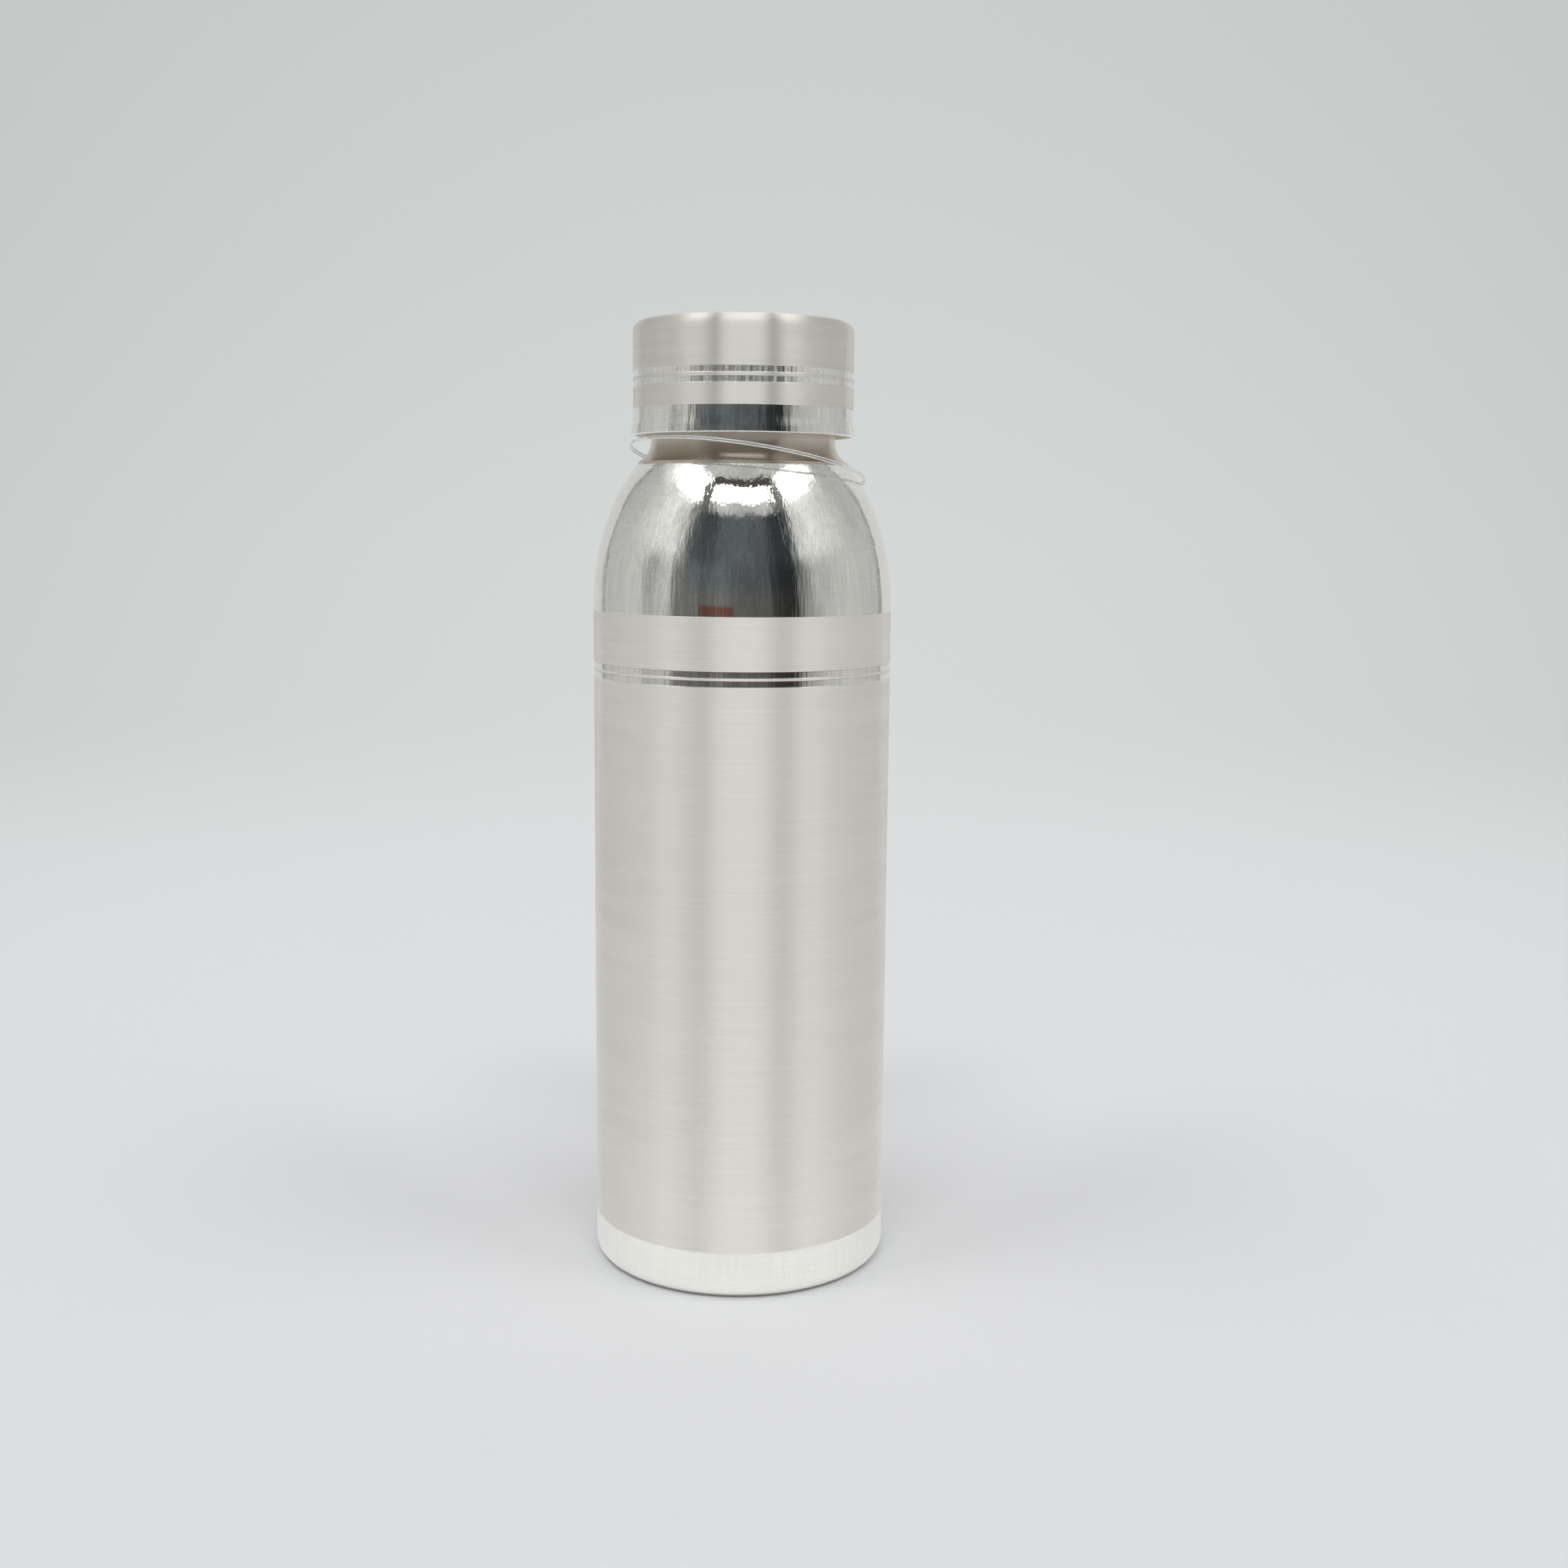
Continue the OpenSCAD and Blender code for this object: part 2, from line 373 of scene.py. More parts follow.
def bare_copper():
    """The body's inside: drawn copper, pickled clean, with soft blotches and drawing lines."""
    material, tree, shader = new_material("copper_drawn_pickled")
    base = colours().copper
    cloud = grain(tree, 9, 14, 4.0)
    line = grain(tree, 3, 40, 2.0)
    dark = (base[0] * 0.62, base[1] * 0.5, base[2] * 0.45, 1.0)
    tone = blend_colours(tree, spread(tree, cloud, 0.0, 1.0), base, dark)
    coat(tree, shader, tone, spread(tree, cloud, 0.28, 0.42), bump(tree, line, 0.01, 0.4))
    return material


def turned_brass():
    """Cast brass turned on a lathe: yellow, with fine tool marks round it."""
    material, tree, shader = new_material("brass_turned")
    base = colours().brass
    mark = grain(tree, 40, 0.3, 2.0)
    tone = blend_colours(tree, spread(tree, mark, 0.0, 1.0), base, darker(base, 0.75))
    coat(tree, shader, tone, spread(tree, mark, 0.22, 0.34), bump(tree, mark, 0.006, 0.6))
    turn_tangent(tree, shader, 0.6)
    return material


def moulded_silicone():
    """Moulded silicone: soft white, a little clear at its edges, with a fine matte skin."""
    material, tree, shader = new_material("silicone_moulded")
    base = colours().silicone
    skin = grain(tree, 0.6, 0.6, 3.0)
    tone = blend_colours(tree, skin, base, darker(base, 0.92))
    coat(tree, shader, tone, spread(tree, skin, 0.45, 0.6), bump(tree, skin, 0.01, 0.4), 0.0)
    shader.inputs["IOR"].default_value = 1.41
    shader.inputs["Subsurface Weight"].default_value = 0.15
    shader.inputs["Subsurface Radius"].default_value = (0.002, 0.002, 0.002)
    return material


def clear_nylon():
    """Drawn nylon filament. It mostly shows what is behind it, so it is drawn part see-through."""
    material, tree, shader = new_material("nylon_filament_drawn")
    haze = grain(tree, 12, 12, 2.0)
    tree.links.new(spread(tree, haze, 0.08, 0.14), shader.inputs["Roughness"])
    shader.inputs["Base Color"].default_value = colours().nylon
    shader.inputs["IOR"].default_value = 1.53
    shader.inputs["Alpha"].default_value = 0.75
    return material


# ---------------------------------------------------------------- outlines of turned pieces

def arc(centre, radius, start, end, steps):
    """Points on an arc about (r, z), angles in degrees from the outward direction."""
    points = []
    for i in range(steps + 1):
        angle = math.radians(start + (end - start) * i / steps)
        points.append((centre[0] + radius * math.cos(angle), centre[1] + radius * math.sin(angle)))
    return points


def upright(radius, low, high, step=4.0):
    """Points up a straight wall between two heights, both left out, so that its shading stays local."""
    count = max(1, round((high - low) / step))
    return [(radius, low + (high - low) * i / count) for i in range(1, count)]


def cut_line(radius, low, size):
    """A shallow line cut into a wall at a height, with a small chamfer at each edge."""
    chamfer = 0.08
    floor_r = radius - size.line_depth
    high = low + size.line_w
    return [
        (radius, low - BEFORE_LINE),
        (radius, low),
        (floor_r, low + chamfer),
        (floor_r, high - chamfer),
        (radius, high),
        (radius, high + AFTER_LINE),
    ]


def shoulder(size, inset, steps=72):
    """The shoulder's quarter ellipse, from the wall up to the land, at a distance inside its face."""
    rise = (LAND_Z - size.shoulder_z) / size.ellipse_h
    half_width = (BODY_R - size.land_r) / (1 - math.sqrt(1 - rise * rise))
    end = math.asin(rise)
    points = []
    for i in range(steps + 1):
        angle = end * i / steps
        points.append((
            BODY_R - half_width + (half_width - inset) * math.cos(angle),
            size.shoulder_z + (size.ellipse_h - inset) * math.sin(angle)))
    return points


def body_outline(size):
    """Closed outline of the body's wall: up the outside, then down the inside."""
    foot = (BODY_R - size.foot_edge_r, size.foot_edge_r)
    opening_r = size.mouth_r + SPIGOT_WALL
    points = [(foot[0] - size.foot_ring_w, 0)]
    points += arc(foot, size.foot_edge_r, -90, 0, 16)
    points += upright(BODY_R, size.foot_edge_r, size.foot_band_z, 1.6)
    points.append((BODY_R, size.foot_band_z))
    points += upright(BODY_R, size.foot_band_z, size.line_low_z - BEFORE_LINE)
    points += cut_line(BODY_R, size.line_low_z, size)
    points += cut_line(BODY_R, size.line_high_z, size)
    points += upright(BODY_R, size.line_high_z + size.line_w + AFTER_LINE, size.polish_z, 1.6)
    points.append((BODY_R, size.polish_z))
    points += shoulder(size, 0)
    points.append((opening_r, LAND_Z))
    points.append((opening_r, LAND_Z - WALL))
    points += reversed(shoulder(size, WALL, 36))
    points += reversed(arc(foot, size.foot_edge_r - WALL, -90, 0, 10))
    points.append((foot[0] - size.foot_ring_w, WALL))
    return points


def base_outline():
    """Closed outline of the dished base: under it outwards, then back over it."""
    dish_r, rim_r, curve = 21, 24.5, 1.2
    bend_centre = (SKIRT_R - BASE_BEND_R, BASE_Z + BASE_BEND_R)
    low = [(r, BASE_Z + BASE_RISE) for r in (0, 6, 12, 18)]
    low += arc((dish_r, BASE_Z + BASE_RISE - curve), curve, 90, 40, 6)
    low += reversed(arc((rim_r, BASE_Z + curve), curve, 270, 220, 6)[:-1])
    outer = low + arc(bend_centre, BASE_BEND_R, -90, 0, 10) + [(SKIRT_R, BASE_SKIRT_Z)]
    inner = [(r, z + WALL) for r, z in low]
    inner += arc(bend_centre, BASE_BEND_R - WALL, -90, 0, 8)
    inner += [(SKIRT_R - WALL, BASE_SKIRT_Z)]
    return outer + inner[::-1]


def neck_outline(size):
    """Closed outline of the neck ring, without its thread."""
    edge, lip = 0.7, 0.8
    hollow_r = size.neck_r + size.neck_fillet_r
    drop = math.sqrt(size.neck_fillet_r ** 2 - (hollow_r - FOOT_R) ** 2)
    centre = (hollow_r, LAND_Z + edge + drop)
    start = 180 + math.degrees(math.asin(drop / size.neck_fillet_r))
    opening_r = size.mouth_r + SPIGOT_WALL
    points = [(size.mouth_r, SPIGOT_Z), (opening_r, SPIGOT_Z), (opening_r, LAND_Z), (FOOT_R, LAND_Z)]
    points += arc(centre, size.neck_fillet_r, start, 180, 20)
    points += upright(size.neck_r, centre[1], LIP_Z - lip, 2)
    points += arc((size.neck_r - lip, LIP_Z - lip), lip, 0, 90, 8)
    points += arc((size.mouth_r + lip, LIP_Z - lip), lip, 90, 180, 8)
    points += reversed(upright(size.mouth_r, SPIGOT_Z, LIP_Z - lip, 2))
    return points


def cap_outline(size):
    """Closed outline of the cap's shell: up the outside, over the top, then down the inside."""
    flare_top_z = CAP_RIM_Z + CAP_BAND_H
    soft = 0.3
    flare_steps = 14
    points = [(CAP_IN_R, CAP_RIM_Z)]
    points += arc((CAP_RIM_R - soft, CAP_RIM_Z + soft), soft, -90, 0, 5)
    for i in range(1, flare_steps + 1):
        share = i / flare_steps
        flare = 0.5 + 0.5 * math.cos(math.pi * share ** 0.8)
        z = CAP_RIM_Z + soft + (flare_top_z - CAP_RIM_Z - soft) * share
        points.append((size.cap_r + (CAP_RIM_R - size.cap_r) * flare, z))
    points += upright(size.cap_r, flare_top_z, size.cap_line_low_z - BEFORE_LINE, 1)
    points += cut_line(size.cap_r, size.cap_line_low_z, size)
    points += cut_line(size.cap_r, size.cap_line_high_z, size)
    edge = (size.cap_r - size.cap_edge_r, CAP_TOP_Z - size.cap_edge_r)
    points += upright(size.cap_r, size.cap_line_high_z + size.line_w + AFTER_LINE, edge[1], 1)
    points += arc(edge, size.cap_edge_r, 0, 90, 16)
    points += [(r, CAP_TOP_Z) for r in (22, 18, 12, 6, 0)]
    points += [(0, CAP_TOP_Z - size.cap_wall)]
    points += reversed(arc(edge, size.cap_edge_r - size.cap_wall, 0, 90, 8))
    points += reversed(upright(CAP_IN_R, CAP_RIM_Z, edge[1], 4))
    return points


def ring_outline(inner_r, outer_r, low, high, soft):
    """Closed outline of a plain ring with softened edges. An inner radius of 0 makes a disc."""
    corners = [(outer_r, low, -90), (outer_r, high, 0), (inner_r, high, 90), (inner_r, low, 180)]
    points = []
    for r, z, start in corners:
        if r == 0:
            points.append((0, z))
            continue
        centre = (r - soft if r == outer_r else r + soft, z + soft if z == low else z - soft)
        points += arc(centre, soft, start, start + 90, 4)
    return points


# ---------------------------------------------------------------- geometry node trees

def new_tree(name, numbers):
    """A geometry tree with a mesh in and out, number inputs given as name: kind, and a material input."""
    tree = bpy.data.node_groups.new(name, "GeometryNodeTree")
    face = tree.interface
    face.new_socket(name="Geometry", in_out="INPUT", socket_type="NodeSocketGeometry")
    for label, kind in numbers.items():
        face.new_socket(name=label, in_out="INPUT", socket_type="NodeSocket" + kind)
    face.new_socket(name="Material", in_out="INPUT", socket_type="NodeSocketMaterial")
    face.new_socket(name="Geometry", in_out="OUTPUT", socket_type="NodeSocketGeometry")
    return tree, add_node(tree, "NodeGroupInput").outputs


def close_tree(tree, geometry, material):
    """Ends a geometry tree: one smooth mesh, realized, with its material set."""
    welded = add_node(tree, "GeometryNodeMergeByDistance", None, {"Geometry": geometry, "Distance": 1e-6})
    smooth = add_node(tree, "GeometryNodeSetShadeSmooth", None, {"Geometry": welded.outputs[0]})
    real = add_node(tree, "GeometryNodeRealizeInstances", None, {"Geometry": smooth.outputs[0]})
    shown = add_node(
        tree, "GeometryNodeSetMaterial", None, {"Geometry": real.outputs[0], "Material": material})
    add_node(tree, "NodeGroupOutput", None, {"Geometry": shown.outputs[0]})


def turned_tree():
    """Turns a flat outline round the axis, as a lathe does."""
    tree, given = new_tree("turned_shape", {"Segments": "Int"})
    outline = add_node(tree, "GeometryNodeMeshToCurve", None, {"Mesh": given["Geometry"]})
    hub = add_node(
        tree, "GeometryNodeCurvePrimitiveCircle", None,
        {"Resolution": given["Segments"], "Radius": HUB_MM * MM})
    level = add_node(tree, "GeometryNodeSetCurveNormal", {"mode": "Z_UP"}, {"Curve": hub.outputs[0]})
    turned = add_node(
        tree, "GeometryNodeCurveToMesh", None,
        {"Curve": level.outputs[0], "Profile Curve": outline.outputs[0]})
    close_tree(tree, turned.outputs[0], given["Material"])
    return tree


def ridge_tree():
    """Sweeps a trapezium along a helix, fading out at both ends, for a screw thread."""
    tree, given = new_tree("screw_ridge", {
        "Wall radius": "Float", "Pitch": "Float", "Turns": "Float", "Start": "Float", "Steps": "Int"})
    rise = math_node(tree, "MULTIPLY", given["Pitch"], given["Turns"])
    helix = add_node(
        tree, "GeometryNodeCurveSpiral", None,
        {"Resolution": given["Steps"], "Rotations": given["Turns"], "Start Radius": given["Wall radius"],
         "End Radius": given["Wall radius"], "Height": rise, "Reverse": True})
    level = add_node(tree, "GeometryNodeSetCurveNormal", {"mode": "Z_UP"}, {"Curve": helix.outputs[0]})
    along = add_node(tree, "GeometryNodeSplineParameter").outputs["Factor"]
    # The ridge rises over an eighth of a turn at each end
    nearest_end = math_node(tree, "MINIMUM", along, math_node(tree, "SUBTRACT", 1.0, along))
    fade = math_node(tree, "MULTIPLY", nearest_end, math_node(tree, "MULTIPLY", given["Turns"], 8.0))
    share = math_node(tree, "MAXIMUM", math_node(tree, "MINIMUM", fade, 1.0), 0.08)
    profile = add_node(tree, "GeometryNodeMeshToCurve", None, {"Mesh": given["Geometry"]})
    swept = add_node(
        tree, "GeometryNodeCurveToMesh", None,
        {"Curve": level.outputs[0], "Profile Curve": profile.outputs[0], "Scale": share,
         "Fill Caps": True})
    lift = add_node(tree, "ShaderNodeCombineXYZ", None, {"Z": given["Start"]})
    placed = add_node(
        tree, "GeometryNodeTransform", None, {"Geometry": swept.outputs[0], "Translation": lift.outputs[0]})
    close_tree(tree, placed.outputs[0], given["Material"])
    return tree


def loop_tree():
    """Two rings of round filament, the lower one a little wider, leaning as one."""
    tree, given = new_tree("filament_loop", {
        "Radius": "Float", "Thickness": "Float", "Gap": "Float", "Centre": "Vector", "Lean": "Vector",
        "Steps": "Int"})
    strand_r = math_node(tree, "MULTIPLY", given["Thickness"], 0.5)
    section = add_node(
        tree, "GeometryNodeCurvePrimitiveCircle", None, {"Resolution": 12, "Radius": strand_r})
    strands = add_node(tree, "GeometryNodeJoinGeometry")
    for side in (-1, 1):
        inset = math_node(tree, "MULTIPLY", given["Gap"], side * 0.25)
        ring_r = math_node(tree, "SUBTRACT", given["Radius"], inset)
        ring = add_node(
            tree, "GeometryNodeCurvePrimitiveCircle", None, {"Resolution": given["Steps"], "Radius": ring_r})
        level = add_node(tree, "GeometryNodeSetCurveNormal", {"mode": "Z_UP"}, {"Curve": ring.outputs[0]})
        strand = add_node(
            tree, "GeometryNodeCurveToMesh", None,
            {"Curve": level.outputs[0], "Profile Curve": section.outputs[0]})
        height = math_node(tree, "MULTIPLY", given["Gap"], side)
        lift = add_node(tree, "ShaderNodeCombineXYZ", None, {"Z": height})
        placed = add_node(
            tree, "GeometryNodeTransform", None,
            {"Geometry": strand.outputs[0], "Translation": lift.outputs[0]})
        tree.links.new(placed.outputs[0], strands.inputs[0])
    leaning = add_node(
        tree, "GeometryNodeTransform", None,
        {"Geometry": strands.outputs[0], "Translation": given["Centre"], "Rotation": given["Lean"]})
    close_tree(tree, leaning.outputs[0], given["Material"])
    return tree


def outline_mesh(name, points, hub_mm=0.0):
    """A closed loop of edges from (r, z) points in millimetres. Curve to Mesh lays its Y downwards."""
    mesh = bpy.data.meshes.new(name)
    vertices = [((r - hub_mm) * MM, -z * MM, 0) for r, z in points]
    edges = [(i, (i + 1) % len(points)) for i in range(len(points))]
    mesh.from_pydata(vertices, edges, [])
    return mesh


def ridge_profile(name, height):
    """A thread's section, sunk a little into its wall: outwards for a positive height, else inwards."""
    foot_r = -math.copysign(RIDGE_SINK, height)
    return outline_mesh(
        name, [(foot_r, -RIDGE_FOOT), (height, -RIDGE_TOP), (height, RIDGE_TOP), (foot_r, RIDGE_FOOT)])


def grown(name, source, tree, values, material):
    """Runs a geometry tree on a source mesh and keeps its result as a plain mesh object."""
    piece = bpy.data.objects.new(name, source)
    bpy.context.scene.collection.objects.link(piece)
    modifier = piece.modifiers.new(name, "NODES")
    modifier.node_group = tree
    values = dict(values, Material=material)
    for item in tree.interface.items_tree:
        if item.item_type == "SOCKET" and item.in_out == "INPUT" and item.name in values:
            modifier[item.identifier] = values[item.name]
    graph = bpy.context.evaluated_depsgraph_get()
    mesh = bpy.data.meshes.new_from_object(piece.evaluated_get(graph))
    piece.modifiers.clear()
    piece.data = mesh
    mesh.name = name
    return piece


def point_outwards(piece):
    """Welds a closed mesh, turns its faces outwards and keeps its edges over 25 degrees sharp."""
    shape = bmesh.new()
    shape.from_mesh(piece.data)
    bmesh.ops.remove_doubles(shape, verts=shape.verts, dist=1e-7)
    bmesh.ops.dissolve_degenerate(shape, edges=shape.edges, dist=1e-8)
    bmesh.ops.recalc_face_normals(shape, faces=shape.faces)
    shape.to_mesh(piece.data)
    shape.free()
    piece.data.shade_smooth()
    piece.data.set_sharp_from_angle(angle=math.radians(25))


def turned_piece(name, outline, material):
    """A piece turned from a closed outline of (r, z) points."""
    source = outline_mesh(name, without_repeats(outline), HUB_MM)
    tree = tool("turned_shape", turned_tree)
    piece = grown(name, source, tree, {"Segments": sizes().segments}, material)
    point_outwards(piece)
    return piece


def without_repeats(points):
    """An outline without points that repeat the one before them."""
    kept = []
    for point in points:
        if not kept or math.dist(point, kept[-1]) > 1e-4:
            kept.append(point)
    return kept


def dress(piece, zones, choose):
    """Gives each face the material of its zone: choose(r, z, outward, up) returns a zone's name.

    r and z are the place of the face's middle in millimetres, and outward and up are parts of its normal.
    """
    mesh = piece.data
    mesh.materials.clear()
    order = list(zones)
    for zone in order:
        mesh.materials.append(zones[zone])
    for face in mesh.polygons:
        centre = face.center
        r = math.hypot(centre.x, centre.y)
        outward = 0.0
        if r > 1e-6:
            outward = (centre.x * face.normal.x + centre.y * face.normal.y) / r
        face.material_index = order.index(choose(r / MM, centre.z / MM, outward, face.normal.z))


def join_into(piece, other):
    """Adds another object's mesh to a piece and removes the other object."""
    shape = bmesh.new()
    shape.from_mesh(piece.data)
    shape.from_mesh(other.data)
    shape.to_mesh(piece.data)
    shape.free()
    bpy.data.objects.remove(other)


def add_thread(piece, name, wall_r, height, turns, start, material):
    """Adds a screw's ridge to a piece's wall: on the outside for a positive height, else on the inside."""
    values = {
        "Wall radius": wall_r * MM, "Pitch": sizes().pitch * MM, "Turns": turns, "Start": start * MM,
        "Steps": RIDGE_STEPS}
    ridge = grown(name, ridge_profile(name, height), tool("screw_ridge", ridge_tree), values, material)
    point_outwards(ridge)
    join_into(piece, ridge)


def tool(name, make):
    """A material or node tree that is made once and then shared."""
    for store in (bpy.data.materials, bpy.data.node_groups):
        if name in store:
            return store[name]
    return make()


# ---------------------------------------------------------------- operators

class BottleOperator:
    """What every piece's operator shares."""

    bl_options = {"REGISTER", "UNDO"}

    def execute(self, context):
        self.make()
        return {"FINISHED"}


class BOTTLE_OT_body(BottleOperator, bpy.types.Operator):
    """Make the drawn body with its satin wall, bright lines and polished shoulder and foot."""

    bl_idname = "bottle.body"
    bl_label = "Body"

    def make(self):
        size = sizes()
        zones = {
            "satin": tool("silver_plate_lathe_brushed", satin_silver),
            "mirror": tool("silver_plate_mirror_buffed", mirror_silver),
            "foot": tool("silver_plate_foot_buffed", foot_silver),
            "cut": tool("silver_plate_keen_cut", line_silver),
            "copper": tool("copper_drawn_pickled", bare_copper),
        }
        piece = turned_piece("body", body_outline(size), zones["satin"])
        lines = [size.line_low_z, size.line_high_z]
        disc_z, shoulder_z, hole_r = BASE_Z + 2, 100, 25

        def zone(r, z, outward, up):
            # Above the base disc, the wall's inside, the hole's edge and the shoulder's underside are bare
            hidden = outward < INWARD or r < hole_r or (up < DOWNWARD and z > shoulder_z)
            if z > disc_z and hidden:
                return "copper"
            if any(low < z < low + size.line_w for low in lines):
                return "cut"
            if z < size.foot_band_z:
                return "foot"
            return "mirror" if z > size.polish_z else "satin"

        dress(piece, zones, zone)
        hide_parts("body_shell")
        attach(piece, "bottle")


class BOTTLE_OT_base(BottleOperator, bpy.types.Operator):
    """Make the dished base disc, silver below and copper above."""

    bl_idname = "bottle.base"
    bl_label = "Base"

    def make(self):
        zones = {
            "satin": tool("silver_plate_lathe_brushed", satin_silver),
            "copper": tool("copper_drawn_pickled", bare_copper),
        }
        piece = turned_piece("base", base_outline(), zones["satin"])

        skirt_z = BASE_Z + 2.5

        def zone(r, z, outward, up):
            # Every face that looks up, and the inside of the skirt, is the bottle's inside
            skirt_inside = outward < -0.5 and z > skirt_z
            return "copper" if up > 0.01 or skirt_inside else "satin"

        dress(piece, zones, zone)
        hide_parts("base_disc")
        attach(piece, "bottle")


class BOTTLE_OT_neck(BottleOperator, bpy.types.Operator):
    """Make the turned neck ring and its screw thread."""

    bl_idname = "bottle.neck"
    bl_label = "Neck"

    def make(self):
        size = sizes()
        satin = tool("silver_plate_over_brass_brushed", neck_silver)
        piece = turned_piece("neck", neck_outline(size), satin)
        add_thread(piece, "neck_ridge", size.neck_r, size.ridge_h, NECK_TURNS, THREAD_Z, satin)
        dress(piece, {"satin": satin}, lambda r, z, outward, up: "satin")
        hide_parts("neck_ring")
        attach(piece, "bottle")


class BOTTLE_OT_cap(BottleOperator, bpy.types.Operator):
    """Make the cap's shell with its satin wall, bright lines and polished rim."""

    bl_idname = "bottle.cap"
    bl_label = "Cap shell"

    def make(self):
        size = sizes()
        zones = {
            "satin": tool("silver_plate_fine_brushed", cap_silver),
            "mirror": tool("silver_plate_rim_buffed", rim_silver),
            "cut": tool("silver_plate_bright_cut", cut_silver),
        }
        piece = turned_piece("cap", cap_outline(size), zones["satin"])
        lines = [size.cap_line_low_z, size.cap_line_high_z]

        crown_z = CAP_RIM_Z + 5

        def zone(r, z, outward, up):
            # Every face that looks inwards, and the crown's underside, is the satin inside
            if outward < INWARD or (up < DOWNWARD and z > crown_z):
                return "satin"
            if any(low < z < low + size.line_w for low in lines):
                return "cut"
            return "mirror" if z < CAP_RIM_Z + CAP_BAND_H else "satin"

        dress(piece, zones, zone)
        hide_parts("cap_shell")
        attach(piece, "cap")


class BOTTLE_OT_cap_inside(BottleOperator, bpy.types.Operator):
    """Make the cap's brass thread ring, its liner and its seal."""

    bl_idname = "bottle.cap_inside"
    bl_label = "Cap inside"

    def make(self):
        size = sizes()
        brass = tool("brass_turned", turned_brass)
        bore_r = size.neck_r + size.ridge_h + THREAD_PLAY
        ring = turned_piece(
            "thread_ring", ring_outline(bore_r, CAP_IN_R, THREAD_RING_Z, LINER_LOW_Z, 0.3), brass)
        # The cap's ridge runs in the neck's groove, half a pitch higher, and stands out a little less
        start = THREAD_Z + size.pitch / 2
        add_thread(ring, "ring_ridge", bore_r, 0.1 - size.ridge_h, CAP_TURNS, start, brass)
        dress(ring, {"brass": brass}, lambda r, z, outward, up: "brass")
        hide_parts("cap_thread_ring")
        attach(ring, "cap")

        satin = tool("silver_plate_lathe_brushed", satin_silver)
        liner = turned_piece(
            "liner", ring_outline(0, CAP_IN_R, LINER_LOW_Z, LINER_TOP_Z, 0.2), satin)
        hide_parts("cap_liner")
        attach(liner, "cap")

        rubber = tool("silicone_moulded", moulded_silicone)
        seal = turned_piece(
            "seal", ring_outline(size.mouth_r + 0.4, SEAL_R, LIP_Z, LINER_LOW_Z, 0.3), rubber)
        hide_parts("cap_gasket")
        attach(seal, "seal")


class BOTTLE_OT_tag_loop(BottleOperator, bpy.types.Operator):
    """Make the clear filament that hangs round the neck, doubled."""

    bl_idname = "bottle.tag_loop"
    bl_label = "Tag loop"

    def make(self):
        size = sizes()
        low, high = box_mm("tag_loop")
        middle = (low + high) / 2
        tilt = Matrix.Rotation(math.radians(-LOOP_TILT), 3, "Y")
        turn = Matrix.Rotation(math.radians(LOOP_FACING), 3, "Z")
        values = {
            "Radius": size.loop_r * MM, "Thickness": size.filament_d * MM, "Gap": STRAND_GAP * MM,
            "Centre": middle * MM, "Lean": (turn @ tilt).to_euler(), "Steps": 180,
        }
        piece = grown(
            "tag_loop_filament", bpy.data.meshes.new("tag_loop_filament"),
            tool("filament_loop", loop_tree), values, tool("nylon_filament_drawn", clear_nylon))
        point_outwards(piece)
        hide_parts("tag_loop")
        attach(piece, "bottle")


# ---------------------------------------------------------------- studio

CAMERA_MM = (10.6, -457.6, 185.9)
CAMERA_PITCH = 8.22
CAMERA_ROLL = 0.476
CAMERA_LENS = 42.5
BAR_STRENGTH = 10.4
PANEL_STRENGTH = 5.0
THROWN_STRENGTH = 0.11

# The floor, in metres: its radius, where it fades into the backdrop, and where its extra light fades
FLOOR_R = 1.5
FADE_FROM = 0.15
FADE_TO = 1.4
THROWN_FROM = 0.03
THROWN_TO = 0.40


def ramp(tree, factor, stops):
    """A colour ramp over (position, hex colour) stops."""
    node = add_node(tree, "ShaderNodeValToRGB", None, {"Fac": factor})
    elements = node.color_ramp.elements
    while len(elements) > 1:
        elements.remove(elements[-1])
    for i, (position, hex_colour) in enumerate(stops):
        element = elements[0] if i == 0 else elements.new(position)
        element.position = position
        element.color = linear(hex_colour)
    return node.outputs[0]


def step_up(tree, value, middle, soft):
    """0 below a value and 1 above it, with a soft edge."""
    return smooth_range(tree, value, middle - soft, middle + soft)


def window(tree, value, low, high, soft):
    """1 between two values and 0 outside them, with soft edges."""
    above = step_up(tree, value, low, soft)
    below = math_node(tree, "SUBTRACT", 1.0, step_up(tree, value, high, soft))
    return math_node(tree, "MULTIPLY", above, below)


def patch(tree, turn, climb, place):
    """1 inside a patch of the light box and 0 outside it."""
    across, up = place
    return math_node(tree, "MULTIPLY", window(tree, turn, *across), window(tree, climb, *up))


# What stands round the bottle, by turn in degrees from the front: a grey (0 to 255) at each place.
# The white box is open in front, from -50 to 45 degrees, and the room behind the opening is dark.
# A dark seam runs up each rear corner of the box, at 134 degrees.
LOW_BAND = (
    (-180, 210), (-136, 210), (-134, 50), (-132, 185), (-85, 200), (-78, 170), (-58, 190), (-50, 112),
    (-36, 112), (-28, 92), (-17, 116), (-7, 96), (20, 90), (26, 60), (42, 42), (46, 112), (60, 180),
    (90, 198), (132, 185), (134, 50), (136, 214), (180, 214))
MIDDLE_BAND = (
    (-180, 210), (-136, 208), (-134, 50), (-132, 178), (-110, 188), (-74, 230), (-58, 230), (-47, 140),
    (-42, 96), (-30, 74), (-20, 98), (0, 106), (20, 88), (28, 64), (38, 58), (43, 140), (50, 214), (62, 234),
    (110, 180), (132, 186), (134, 50), (136, 214), (180, 214))
